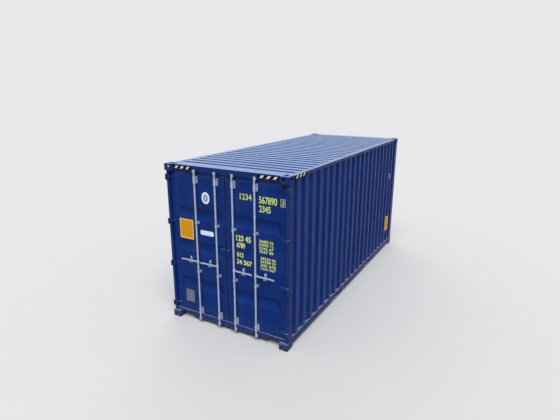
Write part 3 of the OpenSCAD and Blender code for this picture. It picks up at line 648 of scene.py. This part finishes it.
def draped(piece, line, start, end, low, high, material=0, off=STAND_OFF):
    """Film on the right side wall that follows its ribs from start to end along X."""
    inside = [p for p in line if start < p.x < end]
    path = []
    for x in [start] + [p.x for p in inside] + [end]:
        after = next(i for i, p in enumerate(line) if p.x >= x)
        a, b = line[after - 1], line[after]
        path.append((x, a.y + (b.y - a.y) * (x - a.x) / (b.x - a.x) - off))
    part = bmesh.new()
    rows = [[part.verts.new((x, y - out, z)) for x, y in path] for out, z in (
        (0, low), (FILM, low), (FILM, high), (0, high),
    )]
    for k in range(4):
        one, two = rows[k], rows[(k + 1) % 4]
        for i in range(len(path) - 1):
            part.faces.new((one[i], one[i + 1], two[i + 1], two[i]))
    for i in (0, -1):
        part.faces.new([row[i] for row in rows])
    bmesh.ops.recalc_face_normals(part, faces=part.faces[:])
    piece.absorb(part, material)


# Marks

# Added weight of the digits' strokes
LIGHT, MEDIUM, HEAVY = 0.012, 0.018, 0.032

# Places on the doors: from their middle to the reader's right, and height
FRAME_PLACE = (1.082, 2.469)
OVAL_PLACE = (-0.400, 2.362)
PANEL_PLACE = (-0.849, 1.752)
STRIP_PLACE = (-0.399, 1.742)
PLATE_PLACE = (-0.850, 0.464)

# Hazard bands: the middle, across for the header and along X for the top rail, and the length
HEADER_BANDS = ((-0.868, 0.418), (0.838, 0.405))
RAIL_BAND = (-2.626, 0.40)

# Labels on the right side wall: start and end along X, low and high
AMBER_LABEL = (2.407, 2.685, 0.476, 0.856)
GREY_LABEL = (2.590, 2.628, 1.872, 2.028)

# Lines of digits on the right door: the text, the reader's left and right, low and high, the weight
DIGIT_LINES = (
    ("1234", 0.297, 0.520, 2.435, 2.535, LIGHT),
    ("567890", 0.656, 0.979, 2.414, 2.530, MEDIUM),
    ("3", 1.064, 1.100, 2.430, 2.508, LIGHT),
    ("2345", 0.657, 0.866, 2.274, 2.382, MEDIUM),
    ("123 45", 0.206, 0.494, 1.724, 1.824, HEAVY),
    ("6789", 0.214, 0.378, 1.604, 1.700, HEAVY),
    ("012", 0.214, 0.346, 1.442, 1.524, HEAVY),
    ("34 567", 0.211, 0.508, 1.314, 1.404, HEAVY),
)

# Blocks of small digits: the foot of the first line, the reader's left and right, the lines
DIGIT_BLOCKS = (
    (1.772, 0.648, 0.915, ("30480 56", "67890 12", "2345 67", "4567 89")),
    (1.484, 0.673, 0.957, ("28234 56", "56789 01", "345 678", "1234 567")),
)
LINE_PITCH = 0.059
LINE_HEIGHT = 0.047


def right_door_marks():
    """Plain numbers where such a door carries its painted ones."""
    marks = Piece("right_door_marks", "right_door", ["mark_yellow"], "door_paint")
    for text, left, right, low, high, weight in DIGIT_LINES:
        digits(marks, text, left, right, low, high, weight)
    for foot, left, right, texts in DIGIT_BLOCKS:
        for i, text in enumerate(texts):
            low = foot - i * LINE_PITCH
            digits(marks, text, left, right, low, low + LINE_HEIGHT, MEDIUM)
    digit_frame(marks, *FRAME_PLACE)
    marks.done()


def digit_frame(marks, right, height):
    """Thin frame round the last digit of the number, whose uprights stop short of its level lines."""
    line, half_width, half_tall, corner = 0.007, 0.038, 0.058, 0.001
    for z in (-half_tall, half_tall):
        marks.prism(rounded(2 * half_width + line, line, corner), on_doors(right, height + z), FILM)
    for y in (-half_width, half_width):
        marks.prism(rounded(line, 2 * half_tall - line, corner), on_doors(right + y, height), FILM)


def left_door_labels():
    """Bare labels: an oval seal in three films, an amber panel with a pale border, a white strip."""
    colours = ["sticker_white", "sticker_grey", "sticker_pale", "sticker_amber"]
    white, grey, pale, amber = range(4)
    labels = Piece("left_door_labels", "left_door", colours, "door_paint")
    outside, ring, core = oval(0.168, 0.205), oval(0.094, 0.126), oval(0.022, 0.074)
    labels.prism(outside, on_doors(*OVAL_PLACE), FILM, material=white)
    labels.prism(ring, on_doors(*OVAL_PLACE, off=SECOND_LAYER), FILM, material=grey)
    labels.prism(core, on_doors(*OVAL_PLACE, off=THIRD_LAYER), FILM, material=white)
    width, tall, border, corner, inner_corner = 0.303, 0.360, 0.0205, 0.018, 0.010
    inner = rounded(width - 2 * border, tall - 2 * border, inner_corner)
    labels.prism(rounded(width, tall, corner), on_doors(*PANEL_PLACE), FILM, material=pale)
    labels.prism(inner, on_doors(*PANEL_PLACE, off=SECOND_LAYER), FILM, material=amber)
    strip = rounded(0.286, 0.084, 0.028)
    labels.prism(strip, on_doors(*STRIP_PLACE), FILM, material=white)
    labels.done()


def left_door_plate():
    """Bare metal plate with ruled, empty fields, on four rivets."""
    plate = Piece("left_door_plate", "left_door", ["data_plate", "galvanised"], "galvanised")
    right, height = PLATE_PLACE
    width, tall, thick, corner, edge = 0.196, 0.244, 0.0012, 0.010, 0.0004
    rule, rule_end, rules, pitch, margin = 0.0025, 0.001, 5, 0.035, 0.025
    rule_thick, upright_thick, upright_shift = 0.0004, 0.0002, 0.012
    rivet_inset, rivet_radius = 0.012, 0.004
    plate.prism(rounded(width, tall, corner), on_doors(right, height), thick, edge)
    face = STAND_OFF + thick
    for i in range(rules):
        place = on_doors(right, height + (i - (rules - 1) / 2) * pitch, off=face)
        plate.prism(rounded(width - 2 * margin, rule, rule_end), place, rule_thick, material=1)
    place = on_doors(right + upright_shift, height, off=face)
    plate.prism(rounded(rule, (rules - 1) * pitch, rule_end), place, upright_thick, material=1)
    for y in (-1, 1):
        for z in (-1, 1):
            across = -right + y * (width / 2 - rivet_inset)
            up = height + z * (tall / 2 - rivet_inset)
            plate.rivet((DOOR_FACE - face, across, up), OUTWARD, rivet_radius, material=1)
    plate.done()


def stripes(piece, place, length, height, count):
    """A black band with slanting pale bars."""
    corner, edge, bar_film = 0.002, 0.002, 0.0003
    lead, bar_share, spare, slant_share = 0.3, 0.42, 0.4, 0.9
    piece.prism(rounded(length, height, corner), place, FILM, material=0)
    step = length / (count + spare)
    slant = height * slant_share
    above = place @ Matrix.Translation((0, 0, STAND_OFF))
    h = height / 2 - edge
    for i in range(count):
        x = -length / 2 + step * (i + lead)
        end = x + step * bar_share
        piece.prism([(x, -h), (end, -h), (end + slant, h), (x + slant, h)], above, bar_film, material=1)


def hazard_stripes():
    """Bands beside the top castings: two on the header and one on the right top rail."""
    bars, header_height, band_height, rail_edge = 3, 2.842, 0.046, 0.003
    band = Piece("hazard_stripes", "frame", ["stripe_black", "stripe_cream"], "frame_paint")
    for right, length in HEADER_BANDS:
        stripes(band, on_doors(right, header_height, HEADER_FACE), length, band_height, bars)
    x, length = RAIL_BAND
    on_rail = on_right_side(x, middle(RAIL_LOW.z, RAIL_HIGH.z), RAIL_LOW.y)
    stripes(band, on_rail, length, RAIL_HIGH.z - RAIL_LOW.z - 2 * rail_edge, bars)
    band.done()


def side_labels():
    """Labels near the front end of the right wall: amber with a pale border, and a narrow grey one."""
    border = 0.022
    colours = ["sticker_pale", "sticker_amber", "sticker_grey"]
    pale, amber, grey = range(3)
    line = outer_line("right_side_wall", 1)
    labels = Piece("right_side_labels", "frame", colours, "wall_paint")
    start, end, low, high = AMBER_LABEL
    inner = (start + border, end - border, low + border, high - border)
    draped(labels, line, *AMBER_LABEL, pale)
    draped(labels, line, *inner, amber, SECOND_LAYER)
    draped(labels, line, *GREY_LABEL, grey)
    labels.done()


# Fasteners

# Thickness of the brackets' flanges and the catches' plates
FLANGE = 0.006

# Turned profiles as (radius, height) points
PIN_HEAD = ((0, 0), (0.0115, 0), (0.0115, 0.002), (0.010, 0.004), (0.006, 0.0052), (0, 0.0056))
PIVOT_CAP = ((0, 0), (0.012, 0), (0.012, 0.002), (0.010, 0.0036), (0.005, 0.005), (0, 0.0054))
BAR_FILLET = ((0.0158, 0), (0.0195, 0), (0.0185, 0.0022), (0.0158, 0.004))
SCREW_HEAD = ((0, 0), (0.007, 0), (0.0065, 0.0006), (0.003, 0.0009), (0, 0.0009))


def bracket_bolts(side):
    """Bolts on the flanges of the brackets and on the plates of the catches."""
    name = side_name(side)
    bolts = Piece(f"{name}_door_bolts", f"{name}_door", ["galvanised"], "galvanised")
    edge, end, tall, foot = 0.009, 0.018, 0.1, 0.010
    for low, high in solids(f"{name}_door_brackets"):
        heights = [middle(low.z, high.z)]
        if high.z - low.z > tall:
            heights = [low.z + end, high.z - end]
        for z in heights:
            for y in (low.y + edge, high.y - edge):
                bolts.bolt((high.x - FLANGE, y, z), OUTWARD)
    for low, high in solids(f"{name}_door_catches"):
        for z in (low.z + foot, middle(low.z, high.z)):
            place = (high.x - FLANGE, middle(low.y, high.y), z)
            bolts.bolt(place, OUTWARD, radius=0.0065, height=0.005)
    bolts.done()


def hasp_pins(side):
    """Rods on which the catches' hasps turn."""
    name = side_name(side)
    pins = Piece(f"{name}_door_hasp_pins", f"{name}_door", ["galvanised"], "galvanised")
    radius, half, drop = 0.0042, 0.0135, 0.009
    for low, high in solids(f"{name}_door_catches"):
        x, y, z = high.x - FLANGE - radius, middle(low.y, high.y), high.z - drop
        pins.rod((x, y - half, z), (x, y + half, z), radius, bevel=0.0008)
    pins.done()


def guide_liners(side):
    """Rings that line the brackets' bores, seen at their ends."""
    name = side_name(side)
    liners = Piece(f"{name}_door_liners", f"{name}_door", ["seal_rubber"], "seal_rubber")
    inner, outer, thick, edge = 0.0166, 0.0215, 0.0026, 0.001
    ring = [(inner, 0), (outer, 0), (outer, thick - edge), (outer - edge, thick), (inner, thick)]
    depth = JOINTS[f"{name}_inner_bar_turn"].x
    for low, high in solids(f"{name}_door_brackets"):
        y = middle(low.y, high.y)
        liners.turned(ring, (depth, y, high.z), (0, 0, 1), sides=28)
        liners.turned(ring, (depth, y, low.z), (0, 0, -1), sides=28)
    liners.done()


def pin_heads():
    """Domed ends of the hinge pins, on the frame's lugs."""
    heads = Piece("hinge_pin_heads", "frame", ["frame_paint"], "frame_paint")
    for low, high in solids("hinge_lugs"):
        pin = JOINTS["left_door_swing" if low.y > 0 else "right_door_swing"]
        heads.turned(PIN_HEAD, (pin.x, pin.y, high.z), (0, 0, 1), sides=20)
        heads.turned(PIN_HEAD, (pin.x, pin.y, low.z), (0, 0, -1), sides=20)
    heads.done()


def pivot_cap(bar):
    """Domed end of the pin on which a handle lifts."""
    reach = 0.01
    pivot = JOINTS[f"{bar}_handle_lift"]
    node = frame["nodes"][f"{bar}_bar"]
    points = [node.matrix_world @ v.co for v in node.data.vertices]
    end = min(p.x for p in points if abs(p.y - pivot.y) < reach and abs(p.z - pivot.z) < reach)
    cap = Piece(f"{bar}_pivot", f"{bar}_bar", ["galvanised"], "galvanised")
    cap.turned(PIVOT_CAP, (end, pivot.y, pivot.z), OUTWARD)
    cap.done()


def bar_welds(bar):
    """Fillets where the cams and the hub meet a bar."""
    axis = JOINTS[f"{bar}_bar_turn"]
    hub_z = JOINTS[f"{bar}_handle_lift"].z
    low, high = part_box(f"{bar}_bar")
    cam, hub = 0.052, 0.022
    welds = Piece(f"{bar}_bar_welds", f"{bar}_bar", ["galvanised"], "galvanised")
    for z, way in ((low.z + cam, 1), (high.z - cam, -1), (hub_z + hub, 1), (hub_z - hub, -1)):
        welds.turned(BAR_FILLET, (axis.x, axis.y, z), (0, 0, way), sides=28)
    welds.done()


# Welds and rubber


def frame_welds():
    """Beads round the posts' ends at the castings, at the hinge lugs' plates and at the keepers."""
    post_width, post_depth, bead = 0.053, 0.178, 0.0035
    lug_inset, lug_plate, lug_bead = 0.004, 0.022, 0.003
    keeper_inset, keeper_bead, fine = 0.002, 0.0028, 0.006
    welds = Piece("frame_welds", "frame", ["frame_paint"], "frame_paint")
    post_ends = (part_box("bottom_castings")[1].z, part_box("top_castings")[0].z)
    for side in (RIGHT, LEFT):
        outer, inner = side * POST_SIDE, side * (POST_SIDE - post_width)
        for z in post_ends:
            corner = (POST_FACE, outer, z)
            welds.bead([(DOOR_END + post_depth, outer, z), corner, (POST_FACE, inner, z)], bead)
    for low, high in solids("hinge_lugs"):
        start, end = low.y + lug_inset, high.y - lug_inset
        for z in (low.z, low.z + lug_plate, high.z - lug_plate, high.z):
            welds.bead([(POST_FACE, start, z), (POST_FACE, end, z)], lug_bead, fine)
    for low, high in solids("cam_keepers"):
        foot, top = low.z + keeper_inset, high.z - keeper_inset
        for y in (low.y, high.y):
            welds.bead([(HEADER_FACE, y, foot), (HEADER_FACE, y, top)], keeper_bead, fine)
    welds.done()


def wall_welds():
    """Beads along the feet and the tops of the ribbed walls."""
    bead, ripple = 0.003, 0.018
    for node, axis, name in (
        ("right_side_wall", 1, "right_wall_welds"),
        ("left_side_wall", 1, "left_wall_welds"),
        ("front_wall", 0, "front_wall_welds"),
    ):
        line = outer_line(node, axis)
        low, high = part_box(node)
        welds = Piece(name, "frame", ["wall_paint"], "wall_paint")
        for z in (low.z, high.z):
            welds.bead([(p.x, p.y, z) for p in line], bead, ripple)
        welds.done()


def weld_around(welds, open_y, shut_y, low_z, high_z):
    """A weld on the doors' face round three sides of a plate, left open at one side."""
    bead, ripple = 0.0032, 0.007
    corners = ((open_y, low_z), (shut_y, low_z), (shut_y, high_z), (open_y, high_z))
    welds.bead([(DOOR_FACE, y, z) for y, z in corners], bead, ripple)


def door_welds(side):
    """Seams between stiles, rails and panel, and round the hinge blades' pads and the middle lug."""
    seam, ripple, pad = 0.0016, 0.016, 0.075
    name = side_name(side)
    welds = Piece(f"{name}_door_welds", f"{name}_door", ["door_paint"], "door_paint")
    low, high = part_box(f"{name}_door_panel")
    for y in (low.y, high.y):
        welds.bead([(DOOR_FACE, y, low.z), (DOOR_FACE, y, high.z)], seam, ripple)
    for z in (low.z, high.z):
        welds.bead([(DOOR_FACE, low.y, z), (DOOR_FACE, high.y, z)], seam, ripple)
    for low, high in solids(f"{name}_door_hinges"):
        end = low.y if side == LEFT else high.y
        weld_around(welds, end + side * pad, end, low.z, high.z)
    low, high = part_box(f"{name}_door_lug")
    edge, far = (high.y, low.y) if side == RIGHT else (low.y, high.y)
    weld_around(welds, edge, far, low.z, high.z)
    welds.done()


def seal_lips(side):
    """Two soft lips along the hinge side and the top of a door's seal."""
    reach, thick, inset, bite, edge = 0.0028, 0.0022, 0.003, 0.001, 0.0008
    name = side_name(side)
    low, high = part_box(f"{name}_door_seal")
    stile_low, stile_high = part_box(f"{name}_door_stiles")
    lips = Piece(f"{name}_door_seal_lips", f"{name}_door", ["seal_rubber"], "seal_rubber")
    outer = low.y if side == RIGHT else high.y
    ys = sorted((outer - side * bite, outer + side * reach))
    for x in (low.x + inset, high.x - inset - thick):
        back = x + thick
        lips.block((x, ys[0], low.z), (back, ys[1], high.z), edge)
        lips.block((x, stile_low.y, high.z - bite), (back, stile_high.y, high.z + reach), edge)
    lips.done()


# Inside


def floor_screws():
    """Rows of flat screws that hold the floor to each cross member."""
    across, inset = 18, 0.04
    screws = Piece("floor_screws", "frame", ["galvanised"], "galvanised")
    step = (FLOOR_HIGH.y - FLOOR_LOW.y - 2 * inset) / (across - 1)
    for low, high in solids("cross_members"):
        x = middle(low.x, high.x)
        for i in range(across):
            place = (x, FLOOR_LOW.y + inset + step * i, FLOOR_HIGH.z)
            screws.turned(SCREW_HEAD, place, (0, 0, 1), sides=10)
    screws.done()


def lashing_rings():
    """Half rings of bar steel that stand along both edges of the floor."""
    radius, wire, leg, from_wall, steps = 0.028, 0.006, 0.018, 0.012, 12
    spacing, each_way = 1.05, 2
    rings = Piece("lashing_rings", "frame", ["galvanised"], "galvanised")
    for side in (RIGHT, LEFT):
        y = side * (HALF_INSIDE - from_wall)
        for k in range(-each_way, each_way + 1):
            x = k * spacing
            arch = [(x - radius, y, FLOOR_HIGH.z)]
            for i in range(steps + 1):
                a = math.pi * i / steps
                arch.append((x - radius * math.cos(a), y, FLOOR_HIGH.z + leg + radius * math.sin(a)))
            arch.append((x + radius, y, FLOOR_HIGH.z))
            rings.bead(arch, wire, ripple=0.02, sides=10)
    rings.done()


# Camera, light and floor

# The camera's place in metres, its angles in degrees and its lens, fitted to the photograph
CAMERA_PLACE = Vector((-8.3777, -4.0810, 4.1097))
CAMERA_TURN = -60.6511
CAMERA_PITCH = -15.7095
CAMERA_ROLL = -0.2044
SENSOR_WIDTH = 36.0
FOCAL_PIXELS = 427.15
FRAME_PIXELS = 560

# The studio's brightness at the horizon and overhead, and what the camera and reflections see
STUDIO_COLOUR = (0.97, 0.98, 1.0)
HORIZON_LEVEL = 0.40
OVERHEAD_LEVEL = 0.90
OVERHEAD_FROM = 0.8
BACKGROUND_LEVEL = 0.83
REFLECTION_LEVEL = 0.85

# The ground lies a little under the castings' feet, clear of them
FLOOR_SHADE = (0.40, 0.40, 0.404)
FLOOR_REACH = 400
FLOOR_DROP = 0.001


def make_camera():
    """The camera that sees the container as the photograph does."""
    data = bpy.data.cameras.new("camera")
    data.sensor_width = SENSOR_WIDTH
    data.lens = data.sensor_width * FOCAL_PIXELS / FRAME_PIXELS
    camera = bpy.data.objects.new("camera", data)
    bpy.context.scene.collection.objects.link(camera)
    turn = (
        Matrix.Rotation(math.radians(CAMERA_TURN), 4, "Z")
        @ Matrix.Rotation(math.radians(CAMERA_PITCH), 4, "X")
        @ Matrix.Rotation(math.radians(CAMERA_ROLL), 4, "Y")
    )
    look_forward = Matrix.Rotation(math.radians(90), 4, "X")
    camera.matrix_world = Matrix.Translation(CAMERA_PLACE) @ turn @ look_forward
    bpy.context.scene.camera = camera


def make_world():
    """A pale studio: brighter overhead than at the horizon, with an even wall behind the object."""
    world = bpy.data.worlds.new("studio")
    bpy.context.scene.world = world
    world.use_nodes = True
    tree = world.node_tree
    back = tree.nodes["Background"]
    coords = tree.nodes.new("ShaderNodeTexCoord")
    split = tree.nodes.new("ShaderNodeSeparateXYZ")
    tree.links.new(coords.outputs["Generated"], split.inputs["Vector"])
    sky = tree.nodes.new("ShaderNodeMapRange")
    sky.inputs["From Min"].default_value = 0.0
    sky.inputs["From Max"].default_value = OVERHEAD_FROM
    sky.inputs["To Min"].default_value = HORIZON_LEVEL
    sky.inputs["To Max"].default_value = OVERHEAD_LEVEL
    tree.links.new(split.outputs["Z"], sky.inputs["Value"])
    path = tree.nodes.new("ShaderNodeLightPath")
    strength = sky.outputs["Result"]
    usual, special = MIX_NUMBERS
    for kind, level in (("Is Glossy Ray", REFLECTION_LEVEL), ("Is Camera Ray", BACKGROUND_LEVEL)):
        pick = tree.nodes.new("ShaderNodeMix")
        tree.links.new(path.outputs[kind], pick.inputs[MIX_FACTOR])
        tree.links.new(strength, pick.inputs[usual])
        pick.inputs[special].default_value = level
        strength = pick.outputs[MIX_NUMBER_OUT]
    tree.links.new(strength, back.inputs["Strength"])
    back.inputs["Color"].default_value = (*STUDIO_COLOUR, 1)


def sun(name, azimuth, height, power, spread, glints=True):
    """Even light from a direction: azimuth from +X towards +Y, height above the horizon, in degrees."""
    data = bpy.data.lights.new(name, "SUN")
    data.energy = power
    data.angle = math.radians(spread)
    lamp = bpy.data.objects.new(name, data)
    bpy.context.scene.collection.objects.link(lamp)
    a, h = math.radians(azimuth), math.radians(height)
    source = Vector((math.cos(a) * math.cos(h), math.sin(a) * math.cos(h), math.sin(h)))
    lamp.rotation_mode = "QUATERNION"
    lamp.rotation_quaternion = source.to_track_quat("Z", "Y")
    lamp.visible_glossy = glints


def make_floor():
    """A wide, dull ground as bright as the background."""
    n = Nodes("studio_floor")
    n.feed(n.shader.inputs["Base Color"], FLOOR_SHADE)
    n.shader.inputs["Roughness"].default_value = 1.0
    n.shader.inputs["Specular IOR Level"].default_value = 0.0
    data = bpy.data.meshes.new("studio_floor")
    r = FLOOR_REACH
    data.from_pydata([(-r, -r, 0), (r, -r, 0), (r, r, 0), (-r, r, 0)], [], [(0, 1, 2, 3)])
    data.materials.append(n.material)
    ground = bpy.data.objects.new("studio_floor", data)
    bpy.context.scene.collection.objects.link(ground)
    ground.location.z = -FLOOR_DROP


make_camera()
make_world()
sun("main_light", azimuth=210, height=58, power=4.0, spread=45)
sun("fill_light", azimuth=35, height=25, power=1.3, spread=50, glints=False)
make_floor()
dress_nodes()
right_door_marks()
left_door_labels()
left_door_plate()
hazard_stripes()
side_labels()
for door in (RIGHT, LEFT):
    bracket_bolts(door)
    hasp_pins(door)
    guide_liners(door)
    door_welds(door)
    seal_lips(door)
for bar in ("right_outer", "right_inner", "left_inner", "left_outer"):
    pivot_cap(bar)
    bar_welds(bar)
pin_heads()
frame_welds()
wall_welds()
floor_screws()
lashing_rings()

bpy.context.scene.view_settings.view_transform = "Standard"
